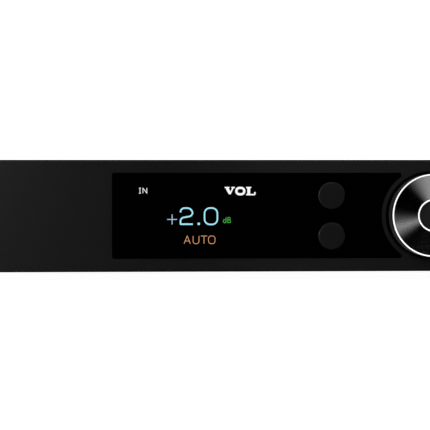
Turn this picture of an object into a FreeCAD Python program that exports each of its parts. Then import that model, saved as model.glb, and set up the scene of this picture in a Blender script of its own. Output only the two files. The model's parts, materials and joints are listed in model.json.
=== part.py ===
import FreeCAD, Part
import math
import os

V = FreeCAD.Vector
ALONG_Y = V(0, 1, 0)
tiny = 1e-6

# A half-width desktop DAC. X runs to the right, Y to the back and Z up, in millimetres.
# The origin is on the surface it stands on, under the middle of its bounding box.

# Case
width = 210.0
case_height = 40.0
case_depth = 188.0
foot_height = 3.0
sheet = 2.0
corner_radius = 1.5
fit_gap = 0.1

# Front panel, and what stands out in front of it and behind the case
panel_thickness = 8.0
edge_chamfer = 0.5
knob_reach = 12.0
antenna_reach = 20.0
inset = 0.5

# Planes that the rest is measured from
front = knob_reach - (knob_reach + case_depth + antenna_reach) / 2
rear = front + case_depth
side = width / 2
bottom = foot_height
top = bottom + case_height
middle = (bottom + top) / 2
floor_top = bottom + sheet
ceiling = top - sheet
wall = side - sheet
tray_wall = wall - fit_gap
panel_back = front + panel_thickness
rear_face = rear - inset
rear_inner = rear_face - sheet
lip_front = rear_inner - sheet

# Window of dark glass, with its right edge hollowed around the knob
window_left = -36.8
window_right = 67.1
window_half_height = 15.35
window_thickness = 1.8
window_corner = 0.8
window_tip = 0.4
recess_floor = front + window_thickness

# Knob
knob_x = 77.15
knob_radius = 14.7
knob_sink = 4.0
knob_wall = 2.5
knob_chamfer = 0.44
knob_face_drop = 1.19
knob_hollow_end = front - 5.0
bore_clearance = 0.5
boss_radius = 6.5
boss_end = front + 1.5
set_screw_y = front - 2.5
set_screw_radius = 1.45
set_screw_socket = 0.85
dish_radius = 5.83
dish_chamfer = 0.55
dish_chamfer_depth = 0.41
dish_depth = 1.2
cap_radius = 5.0
cap_thickness = 0.6
pocket_radius = 15.75
pocket_floor = front + 5.0
collar_radius = 17.15

# Push encoder under the knob
encoder_size = 12.0
encoder_bush_radius = 3.5
encoder_bush_end = front + 2.5
shaft_radius = 3.0
shaft_gap = 0.05
shaft_reach = 7.0
shaft_end = panel_back + 4.0
rotor_radius = 4.2
rotor_thickness = 1.0
encoder_cavity = (4.6, panel_back + 1.5, panel_back + 5.9)
plunger_radius = 2.5
nut_radius = 5.8
nut_thickness = 1.8
press_travel = 0.5

# Two push buttons, one above the other, on tact switches
button_x = 41.92
button_middle = middle - 0.15
button_spacing = 14.45
button_radius = 4.85
button_chamfer = 0.4
button_reach = 0.8
button_hole_radius = 5.1
button_flange_radius = 6.2
button_flange_thickness = 1.2
button_stem_radius = 1.6
button_stem_end = panel_back + 4.3
tact_size = 6.0
tact_height = 3.5

# Display and infrared receiver behind the window
display_x = -6.4
display_size = (49.8, 25.8, 3.0)
receiver_x = 27.0
receiver_lens_radius = 2.3
receiver_size = (6.0, 7.0)
receiver_gap = 2.0

# Boards
board = 1.6
board_bottom = floor_top + 5.5
board_top = board_bottom + board
boards_front = front + 26.0
control_board_front = panel_back + 6.5
control_board_back = control_board_front + board
control_board_x = (-34.0, 94.0)
control_board_gap = 1.5
board_gap = 0.8
main_board_x = (-98.0, 38.0)
main_board_rear = rear_inner - 2.5
power_board_x = (44.0, 98.0)
power_board_rear = rear - 34.0
standoff_radius = 2.75
main_standoffs = [(x, y) for x in (-93.0, -30.0, 33.0) for y in (boards_front + 5, main_board_rear - 30)]
power_standoffs = [(x, y) for x in (49.0, 93.0) for y in (boards_front + 5, power_board_rear - 5)]
standoff_places = main_standoffs + power_standoffs

# Rear connectors: X of each, and Z where it isn't the middle
left_xlr_x = -82.0
right_xlr_x = -54.5
phono_x = -31.0
phono_low = 15.5
phono_high = 30.0
antenna_x = -15.0
antenna_z = 33.0
coax_x = 0.0
coax_z = 19.0
optical_x = 16.0
usb_x = 31.0
inlet_x = 58.0
switch_x = 87.0

# Three-pin balanced outputs
xlr_flange = (26.0, 31.0, 2.0)
xlr_flange_corner = 3.0
xlr_lip = (10.5, 1.0)
xlr_body_radius = 11.8
xlr_cavity_radius = 8.1
xlr_depth = 18.0
xlr_insert_thickness = 4.0
xlr_pin_circle = 4.7
xlr_pin_radius = 1.2
xlr_pin_length = 12.0
xlr_pin_angles = (30, 150, 270)
xlr_screw_offset = (9.5, 11.0)

# Phono sockets: a metal shell on a plastic core, in a plastic collar
phono_radius = 4.15
phono_neck_radius = 3.75
phono_core_radius = 3.5
phono_contact = (1.6, 10.0)
phono_reach = 9.0
phono_core_reach = 7.5
phono_collar = (5.2, 1.5)
phono_body = (11.0, 14.0)
phono_neck_end = rear_face - 4.0

# Optical input with its sprung flap
optical_size = 10.0
optical_depth = 12.0
optical_face = rear_face + 0.5
optical_z = board_top + optical_size / 2
optical_cavity = (7.6, 7.4, 9.0)
flap_thickness = 0.8
flap_barrel_radius = 0.5
flap_pivot_depth = 0.6
flap_gap = 0.05
flap_y = optical_face - 0.75
flap_z = optical_z + optical_cavity[1] / 2 - 0.6

# Square data input
usb_size = (12.0, 11.0, 16.0)
usb_wall = 0.5
usb_face = rear_face + 0.5
usb_z = board_top + usb_size[1] / 2
usb_opening = (8.5, 7.8, 12.0)
usb_opening_chamfer = 1.6
usb_tongue = (5.6, 3.2, 7.0)

# Mains inlet and rocker switch
inlet_flange = (31.0, 24.0, 2.5)
inlet_body = (27.4, 19.8, 22.0)
inlet_opening = (24.2, 16.4, 15.5)
inlet_corner = 4.5
blade = (2.0, 4.0)
blade_places = [(-7.0, -1.5), (0.0, 2.5), (7.0, -1.5)]
blade_recess = 3.0
blade_tail = 6.0
switch_flange = (15.0, 21.0, 2.0)
switch_body = (13.0, 19.0, 20.0)
switch_opening = (11.4, 17.8, 11.0)
rocker_width = 11.0
rocker_profile = [(4.4, 8.1), (3.2, 0), (4.4, -8.1), (0.5, -8.1), (-4.0, -2.5), (-4.0, 2.5), (0.5, 8.1)]
rocker_tilt = 9.0
rocker_y = rear_face - 0.5
rocker_pin = (1.0, 0.6)

# Antenna: a screw-on stub that swivels on its socket and folds at an elbow
thread_radius = 3.15
thread_length = 9.5
socket_nut = (4.6, 2.0)
socket_tail = 7.0
socket_bore = 1.6
socket_contact = 0.5
barrel_radius = 4.5
barrel_start = rear_face + 2.4
elbow_y = rear + antenna_reach - barrel_radius
elbow_z = (antenna_z - barrel_radius, antenna_z + barrel_radius)
elbow_slot = 2.2
tongue_half = 2.05
tongue_radius = 4.2
hinge_pin_radius = 1.2
stub_start = 5.6
stub_length = 50.0
stub_radii = (4.0, 3.3)

# Fasteners and feet
screw_radius = 1.25
screw_length = 5.0
hole_radius = 1.6
head_radius = 2.6
head_height = 1.7
head_fillet = 0.5
socket_radius = 1.3
socket_depth = 1.0
cone_height = 1.4
foot_radius = 8.0
foot_x = 90.0
foot_inset = 22.0
foot_chamfer = 0.6
foot_recess = (3.4, 2.0)
ear_height = 38.0
left_ear_x = (-100.8, -60.0)
right_ear_x = (94.6, 100.8)
flange_top = 20.0
lip_height = 5.0
cover_lip_height = 5.7
front_screw_places = [(x, z) for x in (-95.0, -66.0, 98.0) for z in (12.0, 34.0)]
rear_screw_places = [(x, z) for x in (-98.6, -22.0, 38.0, 98.6) for z in (8.3, 37.7)]
cover_screw_places = [(y, 12.0) for y in (front + 34.0, (front + rear) / 2, rear - 26.0)]
vent_places = [(x, y) for x in (52.0, 60.0, 68.0, 76.0, 84.0, 92.0) for y in (-40.0, 0.0)]
vent_size = (3.0, 26.0)

# Wires and what they plug into
header_height = 8.0
mains_wire_radius = 1.1
antenna_lead_radius = 0.6


def block(x, y, z):
    """A box between two ends on each axis."""
    return Part.makeBox(x[1] - x[0], y[1] - y[0], z[1] - z[0], V(x[0], y[0], z[0]))


def centred(x, z, size_x, size_z, y):
    """A box centred on a point of the XZ plane, between two values of Y."""
    return block((x - size_x / 2, x + size_x / 2), y, (z - size_z / 2, z + size_z / 2))


def rod(radius, y, x, z):
    """A cylinder along Y."""
    return Part.makeCylinder(radius, y[1] - y[0], V(x, y[0], z), ALONG_Y)


def ring(outer, inner, y, x, z):
    """A tube along Y."""
    return rod(outer, y, x, z).cut(rod(inner, y, x, z))


def post(radius, z, x, y):
    """A cylinder along Z."""
    return Part.makeCylinder(radius, z[1] - z[0], V(x, y, z[0]))


def axle(radius, x, y, z):
    """A cylinder along X."""
    return Part.makeCylinder(radius, x[1] - x[0], V(x[0], y, z), V(1, 0, 0))


def fused(shapes):
    """All the shapes as one, with the seams between them removed."""
    return shapes[0].fuse(shapes[1:]).removeSplitter()


def edges_along(shape, axis):
    """The straight edges that run along an axis: 0 for X, 1 for Y, 2 for Z."""
    lines = [edge for edge in shape.Edges if isinstance(edge.Curve, Part.Line)]
    return [edge for edge in lines if abs(edge.tangentAt(edge.FirstParameter)[axis]) > 1 - tiny]


def edges_at(shape, axis, value):
    """The edges that lie in the plane where the axis has that value."""
    level = [edge for edge in shape.Edges if abs(edge.CenterOfMass[axis] - value) < tiny]
    return [edge for edge in level if all(abs(v.Point[axis] - value) < tiny for v in edge.Vertexes)]


def upper(edges, z):
    """Those of the edges that lie above a height."""
    return [edge for edge in edges if edge.CenterOfMass.z > z]


def turned(profile, x, z):
    """A solid of revolution about a line along Y, from (radius, y) points."""
    points = [V(x + radius, y, z) for radius, y in profile]
    face = Part.Face(Part.makePolygon(points + [points[0]]))
    return face.revolve(V(x, 0, z), ALONG_Y, 360)


def extruded(points, x):
    """A solid from (y, z) points, between two values of X."""
    corners = [V(x[0], y, z) for y, z in points]
    return Part.Face(Part.makePolygon(corners + [corners[0]])).extrude(V(x[1] - x[0], 0, 0))


def hexagon(radius, height):
    """A hexagonal prism that stands on the origin along +Z, measured to its corners."""
    turns = [math.radians(60 * k) for k in range(6)]
    corners = [V(radius * math.cos(turn), radius * math.sin(turn), 0) for turn in turns]
    return Part.Face(Part.makePolygon(corners + [corners[0]])).extrude(V(0, 0, height))


def placed(shape, point, axis):
    """The shape with its +Z turned to another axis and its origin moved to a point."""
    moved = shape.copy()
    moved.Placement = FreeCAD.Placement(point, FreeCAD.Rotation(V(0, 0, 1), axis))
    return moved


def screw(point, axis):
    """A pan-head screw with a hexagonal socket, seated at a point with its shank along an axis."""
    head = Part.makeCylinder(head_radius, head_height, V(0, 0, -head_height))
    head = head.makeFillet(head_fillet, edges_at(head, 2, -head_height))
    socket = placed(hexagon(socket_radius, socket_depth), V(0, 0, -head_height), V(0, 0, 1))
    shank = Part.makeCylinder(screw_radius, screw_length)
    return placed(fused([head, shank]).cut(socket), point, axis)


def countersunk_screw(point, axis):
    """A countersunk screw with a hexagonal socket, its head flush with a surface at a point."""
    head = Part.makeCone(head_radius, hole_radius, cone_height)
    shank = Part.makeCylinder(screw_radius, screw_length)
    return placed(fused([head, shank]).cut(hexagon(socket_radius, socket_depth)), point, axis)


def window_plate(grow, y):
    """The window's outline moved outwards by grow, made solid between two values of Y."""
    left, right = window_left - grow, window_right + grow
    half = window_half_height + grow
    radius = collar_radius - grow
    rise = math.sqrt(radius**2 - (knob_x - right) ** 2)
    corners = [(right, rise), (right, half), (left, half), (left, -half), (right, -half), (right, -rise)]
    points = [V(x, y[0], middle + z) for x, z in corners]
    hollow = Part.Arc(points[-1], V(knob_x - radius, y[0], middle), points[0]).toShape()
    outline = Part.Wire([Part.makeLine(a, b) for a, b in zip(points, points[1:])] + [hollow])
    solid = Part.Face(outline).extrude(V(0, y[1] - y[0], 0))
    corner_edges = edges_along(solid, 1)
    left_edges = [edge for edge in corner_edges if edge.CenterOfMass.x < 0]
    right_edges = [edge for edge in corner_edges if edge.CenterOfMass.x > 0]
    return solid.makeFillet(window_corner, left_edges).makeFillet(window_tip, right_edges)


def wire(points, radius):
    """A round wire along straight runs, with each corner rounded as far as its shorter run allows."""
    corners = [V(*point) for point in points]
    edges, start = [], corners[0]
    for before, here, after in zip(corners, corners[1:], corners[2:]):
        into, out = here - before, after - here
        cut_back = 0.45 * min(into.Length, out.Length)
        into.normalize()
        out.normalize()
        first, last = here - into * cut_back, here + out * cut_back
        half_turn = into.getAngle(out) / 2
        bend = cut_back / math.tan(half_turn)
        inwards = (out - into).normalize()
        nearest = here + inwards * (bend / math.cos(half_turn) - bend)
        edges += [Part.makeLine(start, first), Part.Arc(first, nearest, last).toShape()]
        start = last
    edges.append(Part.makeLine(start, corners[-1]))
    path = Part.Wire(edges)
    section = Part.Wire(Part.makeCircle(radius, corners[0], corners[1] - corners[0]))
    return path.makePipeShell([section], True, False)


# Casing


def front_panel():
    plate = block((-side, side), (front, panel_back), (bottom, top))
    plate = plate.makeFillet(corner_radius, edges_along(plate, 1))
    plate = plate.makeChamfer(edge_chamfer, edges_at(plate, 1, front))
    through = (recess_floor, panel_back)
    cuts = [
        window_plate(0, (front, recess_floor)),
        centred(display_x, middle, display_size[0] + 0.4, display_size[1] + 0.4, through),
        rod(pocket_radius, (front, pocket_floor), knob_x, middle),
        rod(encoder_bush_radius + fit_gap, (pocket_floor, panel_back), knob_x, middle),
        rod(receiver_lens_radius + fit_gap, through, receiver_x, middle),
    ]
    cuts += [rod(button_hole_radius, through, button_x, z) for z in button_heights()]
    cuts += [rod(screw_radius, (panel_back - 5, panel_back), x, z) for x, z in front_screw_places]
    return plate.cut(cuts)


def button_heights():
    return (button_middle + button_spacing / 2, button_middle - button_spacing / 2)


def display_window():
    y = (front, recess_floor)
    holes = [rod(button_hole_radius, y, button_x, z) for z in button_heights()]
    return window_plate(-fit_gap, y).cut(holes)


def base_tray():
    inner = tray_wall - sheet
    parts = [block((-tray_wall, tray_wall), (panel_back, rear), (bottom, floor_top))]
    for sign in (-1, 1):
        x = sorted((sign * inner, sign * tray_wall))
        parts.append(block(x, (panel_back, rear_inner - fit_gap), (floor_top, flange_top)))
    for ear in (left_ear_x, right_ear_x):
        parts.append(block(ear, (panel_back, panel_back + sheet), (floor_top, ear_height)))
    parts.append(block((-inner, inner), (lip_front, rear_inner), (floor_top, floor_top + lip_height)))
    holes = [rod(hole_radius, (panel_back, panel_back + sheet), x, z) for x, z in front_screw_places]
    holes += [rod(screw_radius, (lip_front, rear_inner), x, z) for x, z in rear_screw_places if z < middle]
    holes += [post(screw_radius, (bottom, floor_top), x, y) for x, y in foot_places()]
    for y, z in cover_screw_places:
        holes += [axle(screw_radius, x, y, z) for x in ((-tray_wall, -inner), (inner, tray_wall))]
    radius = vent_size[0] / 2
    half = vent_size[1] / 2 - radius
    for x, y in vent_places:
        slot = block((x - radius, x + radius), (y - half, y + half), (bottom, floor_top))
        ends = [post(radius, (bottom, floor_top), x, end) for end in (y - half, y + half)]
        holes.append(fused([slot] + ends))
    return fused(parts).cut(holes)


def top_cover():
    outer = block((-side, side), (panel_back, rear), (bottom, top))
    outer = outer.makeFillet(corner_radius, upper(edges_along(outer, 1), middle))
    shell = outer.cut(block((-wall, wall), (panel_back, rear), (bottom, ceiling)))
    lip = block((-wall, wall), (lip_front, rear_inner), (ceiling - cover_lip_height, ceiling))
    holes = [rod(screw_radius, (lip_front, rear_inner), x, z) for x, z in rear_screw_places if z > middle]
    holes.append(centred(antenna_x, antenna_z, 12, 12, (lip_front, rear_inner)))
    for y, z in cover_screw_places:
        for sign in (-1, 1):
            seat = Part.makeCone(head_radius, hole_radius, cone_height)
            holes.append(placed(seat, V(sign * side, y, z), V(-sign, 0, 0)))
            holes.append(axle(hole_radius, sorted((sign * side, sign * wall)), y, z))
    return fused([shell, lip]).cut(holes)


def rear_panel():
    y = (rear_inner, rear_face)
    plate = block((-wall + fit_gap, wall - fit_gap), y, (floor_top + fit_gap, ceiling - fit_gap))
    cuts = [rod(xlr_body_radius + fit_gap, y, x, middle) for x in (left_xlr_x, right_xlr_x)]
    cuts += [rod(screw_radius + fit_gap, y, x, z) for x, z in xlr_screw_places()]
    cuts += [rod(phono_collar[0] + fit_gap, y, x, z) for x, z in phono_places()]
    cuts += [
        rod(thread_radius + fit_gap, y, antenna_x, antenna_z),
        centred(optical_x, optical_z, optical_size + 0.2, optical_size + 0.2, y),
        centred(usb_x, usb_z, usb_size[0] + 0.2, usb_size[1] + 0.2, y),
        centred(inlet_x, middle, inlet_body[0] + 0.2, inlet_body[1] + 0.2, y),
        centred(switch_x, middle, switch_body[0] + 0.2, switch_body[1] + 0.2, y),
    ]
    cuts += [rod(screw_radius + fit_gap, y, x, z) for x, z in rear_screw_places]
    return plate.cut(cuts)


def foot_places():
    return [(x, y) for y in (front + foot_inset, rear - foot_inset) for x in (-foot_x, foot_x)]


def foot(x, y):
    pad = post(foot_radius, (0, foot_height), x, y)
    pad = pad.makeChamfer(foot_chamfer, edges_at(pad, 2, 0))
    radius, depth = foot_recess
    return pad.cut([post(radius, (0, depth), x, y), post(hole_radius, (0, foot_height), x, y)])


# Controls


def volume_knob():
    face = front - knob_reach
    dish_floor = face + dish_depth
    back = front + knob_sink
    bore = shaft_radius + shaft_gap
    bore_end = front - shaft_reach - bore_clearance
    profile = [
        (0, dish_floor),
        (dish_radius - dish_chamfer, dish_floor),
        (dish_radius - dish_chamfer, face + dish_chamfer_depth),
        (dish_radius, face),
        (knob_radius - knob_chamfer, face + knob_face_drop),
        (knob_radius, face + knob_face_drop + knob_chamfer),
        (knob_radius, back),
        (knob_radius - knob_wall, back),
        (knob_radius - knob_wall, knob_hollow_end),
        (boss_radius, knob_hollow_end),
        (boss_radius, boss_end),
        (bore, boss_end),
        (bore, bore_end),
        (0, bore_end),
    ]
    tapped = post(set_screw_radius, (middle - knob_radius, middle), knob_x, set_screw_y)
    return turned(profile, knob_x, middle).cut(tapped)


def knob_cap():
    floor = front - knob_reach + dish_depth
    return rod(cap_radius, (floor - cap_thickness, floor), knob_x, middle)


def knob_set_screw():
    z = (middle - boss_radius, middle - shaft_radius - shaft_gap)
    grub = post(set_screw_radius, z, knob_x, set_screw_y)
    socket = placed(hexagon(set_screw_socket, socket_depth), V(knob_x, set_screw_y, z[0]), V(0, 0, 1))
    return grub.cut(socket)


def encoder_body():
    case = centred(knob_x, middle, encoder_size, encoder_size, (panel_back, control_board_front))
    bush = rod(encoder_bush_radius, (encoder_bush_end, panel_back), knob_x, middle)
    radius, start, end = encoder_cavity
    bore = rod(shaft_radius + shaft_gap, (encoder_bush_end, start), knob_x, middle)
    return fused([case, bush]).cut([bore, rod(radius, (start, end), knob_x, middle)])


def encoder_nut():
    start = pocket_floor - nut_thickness
    nut = placed(hexagon(nut_radius, nut_thickness), V(knob_x, start, middle), ALONG_Y)
    return nut.cut(rod(encoder_bush_radius, (start, pocket_floor), knob_x, middle))


def encoder_shaft():
    shaft = rod(shaft_radius, (front - shaft_reach, shaft_end), knob_x, middle)
    rotor_y = shaft_end - 1.7
    return fused([shaft, rod(rotor_radius, (rotor_y, rotor_y + rotor_thickness), knob_x, middle)])


def encoder_plunger():
    return rod(plunger_radius, (shaft_end + 0.05, shaft_end + 1.2), knob_x, middle)


def push_button(z):
    cap = rod(button_radius, (front - button_reach, panel_back + fit_gap), button_x, z)
    cap = cap.makeChamfer(button_chamfer, edges_at(cap, 1, front - button_reach))
    flange_end = panel_back + fit_gap + button_flange_thickness
    flange = rod(button_flange_radius, (panel_back + fit_gap, flange_end), button_x, z)
    return fused([cap, flange, rod(button_stem_radius, (flange_end, button_stem_end), button_x, z)])


def tact_switch(z):
    start = control_board_front - tact_height
    body = centred(button_x, z, tact_size, tact_size, (start, control_board_front))
    return body.cut(rod(button_stem_radius + fit_gap, (start, start + 2), button_x, z))


# Electronics inside


def display_module():
    wide, high, thick = display_size
    return centred(display_x, middle, wide, high, (recess_floor, recess_floor + thick))


def infrared_receiver():
    start = panel_back + receiver_gap
    body = centred(receiver_x, middle, receiver_size[0], receiver_size[1], (start, control_board_front))
    return fused([body, rod(receiver_lens_radius, (recess_floor + 1, start), receiver_x, middle)])


def control_board():
    z = (floor_top + control_board_gap, ceiling - control_board_gap)
    return block(control_board_x, (control_board_front, control_board_back), z)


def main_board():
    z = (board_bottom, board_top)
    plate = block(main_board_x, (boards_front, main_board_rear), z)
    holes = [post(hole_radius, z, x, y) for x, y in main_standoffs]
    half = xlr_body_radius + board_gap
    y = (rear_face - xlr_depth - board_gap, rear)
    notches = [block((x - half, x + half), y, z) for x in (left_xlr_x, right_xlr_x)]
    return plate.cut(holes + notches)


def power_board():
    z = (board_bottom, board_top)
    plate = block(power_board_x, (boards_front, power_board_rear), z)
    return plate.cut([post(hole_radius, z, x, y) for x, y in power_standoffs])


def board_standoffs():
    tubes = []
    for x, y in standoff_places:
        tube = post(standoff_radius, (floor_top, board_bottom), x, y)
        tubes.append(tube.cut(post(screw_radius, (floor_top, board_bottom), x, y)))
    return Part.makeCompound(tubes)


def chip(x, y, size, height):
    """A flat square package on a board."""
    half = size / 2
    return block((x - half, x + half), (y - half, y + half), (board_top, board_top + height))


def converter_chips():
    processor, data_bridge = chip(10, 5, 12, 1.2), chip(25, 40, 10, 1.0)
    converters = [chip(x, 5, 9, 1.2) for x in (-68, -42)]
    amplifiers = [chip(x, y, 5, 1.5) for x in (-82, -68, -54, -40) for y in (30, 42)]
    return Part.makeCompound([processor, data_bridge] + converters + amplifiers)


def capacitor(radius, height, x, y):
    """An upright can on a board, with its top edge rounded."""
    can = post(radius, (board_top, board_top + height), x, y)
    return can.makeFillet(radius / 8, edges_at(can, 2, board_top + height))


def filter_capacitors():
    places = [(x, y) for x in (-86, -74, -62, -50, -38, -20) for y in (-55, -40, -25)]
    return Part.makeCompound([capacitor(4, 12, x, y) for x, y in places])


def output_relays():
    z = (board_top, board_top + 8)
    return Part.makeCompound([block((x - 4, x + 4), (52, 62), z) for x in (-86, -74, -62, -50, -38)])


def bluetooth_module():
    y = (rear_inner - 44, rear_inner - 24)
    carrier = block((antenna_x - 7, antenna_x + 7), y, (board_top, board_top + 0.8))
    can = block((antenna_x - 6, antenna_x + 6), (y[0] + 1, y[1] - 8), (board_top + 0.8, board_top + 2.6))
    plug = post(1.2, (board_top + 0.8, board_top + 2.2), antenna_x, y[1] - 4)
    return fused([carrier, can, plug])


def mains_transformer():
    core = block((56, 84), (-40, -16), (board_top, board_top + 20))
    bobbin = block((52, 88), (-36, -20), (board_top + 3, board_top + 17))
    return fused([core, bobbin])


def bulk_capacitor():
    return capacitor(8, 25, 60, 6)


def heat_sink():
    z = (board_top, board_top + 24)
    fins = [block((x, x + 1.5), (0, 10), z) for x in (72, 78.8, 85.7, 92.5)]
    return fused([block((72, 94), (-2, 0), z)] + fins)


def board_connectors():
    return Part.makeCompound([
        block((-10, 10), (control_board_back, control_board_back + 3), (22, 26)),
        block((-10, 10), (boards_front + 2, boards_front + 7), (board_top, board_top + 2.6)),
        block((60, 92), (rear_face - 53.5, rear_face - 45.5), (board_top, board_top + header_height)),
    ])


def ribbon_cable():
    y, z, bend, thin = control_board_back + 1.5, board_top + 1.3, 6.0, 0.3
    x = (-8, 8)
    down = block(x, (y - thin / 2, y + thin / 2), (z + bend, 22))
    across = block(x, (y + bend, boards_front + 2), (z - thin / 2, z + thin / 2))
    curve = axle(bend + thin / 2, x, y + bend, z + bend).cut(axle(bend - thin / 2, x, y + bend, z + bend))
    curve = curve.common(block(x, (y - 1, y + bend), (z - 1, z + bend)))
    return fused([down, curve, across])


def mains_wires():
    tail = rear_face - inlet_body[2] - blade_tail
    switch_back = rear_face - switch_body[2]
    z = middle + blade_places[0][1]
    live_x, neutral_x = inlet_x + blade_places[0][0], inlet_x + blade_places[2][0]
    high = middle + 6
    header_y = rear_face - 49.5
    header_top = board_top + header_height
    runs = [
        [(live_x, tail, z), (live_x, tail - 9, z), (switch_x, tail - 9, z), (switch_x, switch_back, z)],
        [(switch_x, switch_back, high), (switch_x, header_y, high), (switch_x, header_y, header_top)],
        [
            (neutral_x, tail, z),
            (neutral_x, tail - 5, z),
            (neutral_x, tail - 13, high),
            (neutral_x, header_y, high),
            (neutral_x, header_y, header_top),
        ],
    ]
    return Part.makeCompound([wire(run, mains_wire_radius) for run in runs])


def antenna_lead():
    start = rear_inner - socket_tail
    plug_y = rear_inner - 28
    return wire([
        (antenna_x, start, antenna_z),
        (antenna_x, start - 10, antenna_z),
        (antenna_x, plug_y, antenna_z - 8),
        (antenna_x, plug_y, board_top + 2.2),
    ], antenna_lead_radius)


# Rear connectors


def xlr_screw_places():
    dx, dz = xlr_screw_offset
    return [(x + sign * dx, middle - sign * dz) for x in (left_xlr_x, right_xlr_x) for sign in (-1, 1)]


def xlr_shell(x):
    size_x, size_z, thick = xlr_flange
    flange = centred(x, middle, size_x, size_z, (rear_face, rear_face + thick))
    flange = flange.makeFillet(xlr_flange_corner, edges_along(flange, 1))
    flange = flange.makeChamfer(0.4, edges_at(flange, 1, rear_face + thick))
    lip = rod(xlr_lip[0], (rear_face + thick, rear_face + thick + xlr_lip[1]), x, middle)
    body = rod(xlr_body_radius, (rear_face - xlr_depth, rear_face), x, middle)
    cuts = [rod(xlr_cavity_radius, (rear_face - xlr_depth, rear), x, middle)]
    cuts.append(rod(xlr_cavity_radius, (rear_face, rear + 5), x, middle))
    y = (rear_face, rear_face + thick)
    cuts += [rod(screw_radius + fit_gap, y, *place) for place in xlr_screw_places()]
    return fused([flange, lip, body]).cut(cuts)


def xlr_insert(x):
    floor = rear_face - xlr_depth + xlr_insert_thickness
    disc = rod(xlr_cavity_radius, (floor - xlr_insert_thickness, floor), x, middle)
    pins = []
    for angle in xlr_pin_angles:
        turn = math.radians(angle)
        pin_x, pin_z = x + xlr_pin_circle * math.cos(turn), middle + xlr_pin_circle * math.sin(turn)
        pin = rod(xlr_pin_radius, (floor, floor + xlr_pin_length), pin_x, pin_z)
        pins.append(pin.makeFillet(0.8, edges_at(pin, 1, floor + xlr_pin_length)))
    return fused([disc] + pins)


def phono_places():
    return [(phono_x, phono_low), (phono_x, phono_high), (coax_x, coax_z)]


def phono_housing(x, heights):
    """The plastic body of one or more phono sockets, with their collars and cores."""
    body_top = max(heights) + phono_body[0] / 2
    body_y = (rear_inner - phono_body[1], lip_front - 0.1)
    parts = [block((x - phono_body[0] / 2, x + phono_body[0] / 2), body_y, (board_top, body_top))]
    parts += [rod(phono_collar[0], (lip_front - 0.2, rear_face + phono_collar[1]), x, z) for z in heights]
    grooves = [
        ring(phono_neck_radius, phono_core_radius, (phono_neck_end, rear_face + phono_collar[1]), x, z)
        for z in heights
    ]
    end = rear_face + phono_core_reach
    cores = [rod(phono_core_radius, (phono_neck_end, end), x, z) for z in heights]
    contacts = [rod(phono_contact[0], (end - phono_contact[1], end), x, z) for z in heights]
    return fused([fused(parts).cut(grooves)] + cores).cut(contacts)


def phono_shell(x, z):
    neck = ring(phono_neck_radius, phono_core_radius, (phono_neck_end, rear_face + phono_collar[1]), x, z)
    barrel = rod(phono_radius, (rear_face + phono_collar[1], rear_face + phono_reach), x, z)
    barrel = barrel.makeChamfer(0.3, edges_at(barrel, 1, rear_face + phono_reach))
    return fused([neck, barrel.cut(rod(phono_core_radius, (rear_face, rear_face + phono_reach), x, z))])


def optical_socket():
    y = (optical_face - optical_depth, optical_face)
    body = centred(optical_x, optical_z, optical_size, optical_size, y)
    wide, high, deep = optical_cavity
    cavity = centred(optical_x, optical_z, wide, high, (optical_face - deep, optical_face))
    half = wide / 2 + flap_pivot_depth
    pivot = axle(flap_barrel_radius + flap_gap, (optical_x - half, optical_x + half), flap_y, flap_z)
    return body.cut([cavity, pivot])


def optical_flap():
    wide, high, _ = optical_cavity
    half = wide / 2 - 0.2
    low = optical_z - high / 2 + 0.25
    plate_y = (flap_y - flap_thickness / 2, flap_y + flap_thickness / 2)
    plate = block((optical_x - half, optical_x + half), plate_y, (low, flap_z))
    half = wide / 2 + flap_pivot_depth - 0.2
    return fused([plate, axle(flap_barrel_radius, (optical_x - half, optical_x + half), flap_y, flap_z)])


def usb_shell():
    wide, high, deep = usb_size
    y = (usb_face - deep, usb_face)
    tube = centred(usb_x, usb_z, wide, high, y)
    tube = tube.makeFillet(0.4, edges_along(tube, 1))
    return tube.cut(centred(usb_x, usb_z, wide - 2 * usb_wall, high - 2 * usb_wall, y))


def usb_insert():
    wide, high, deep = usb_size
    insert_face = usb_face - 0.3
    body = centred(usb_x, usb_z, wide - 2 * usb_wall, high - 2 * usb_wall, (usb_face - deep, insert_face))
    floor = insert_face - usb_opening[2]
    opening = centred(usb_x, usb_z, usb_opening[0], usb_opening[1], (floor, insert_face))
    opening = opening.makeChamfer(usb_opening_chamfer, upper(edges_along(opening, 1), usb_z))
    tongue = centred(usb_x, usb_z, usb_tongue[0], usb_tongue[1], (floor, floor + usb_tongue[2]))
    return fused([body.cut(opening), tongue])


def inlet_housing():
    wide, high, thick = inlet_flange
    flange = centred(inlet_x, middle, wide, high, (rear_face, rear_face + thick))
    flange = flange.makeFillet(2, edges_along(flange, 1))
    flange = flange.makeChamfer(0.5, edges_at(flange, 1, rear_face + thick))
    body = centred(inlet_x, middle, inlet_body[0], inlet_body[1], (rear_face - inlet_body[2], rear_face))
    mouth = rear_face + thick
    wide, high, deep = inlet_opening
    cavity = centred(inlet_x, middle, wide, high, (mouth - deep, mouth))
    cavity = cavity.makeChamfer(inlet_corner, upper(edges_along(cavity, 1), middle))
    return fused([flange, body]).cut([cavity, inlet_blades()])


def inlet_blades():
    start = rear_face - inlet_body[2] - blade_tail
    end = rear_face + inlet_flange[2] - blade_recess
    return Part.makeCompound([
        centred(inlet_x + dx, middle + dz, blade[0], blade[1], (start, end)) for dx, dz in blade_places
    ])


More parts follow.
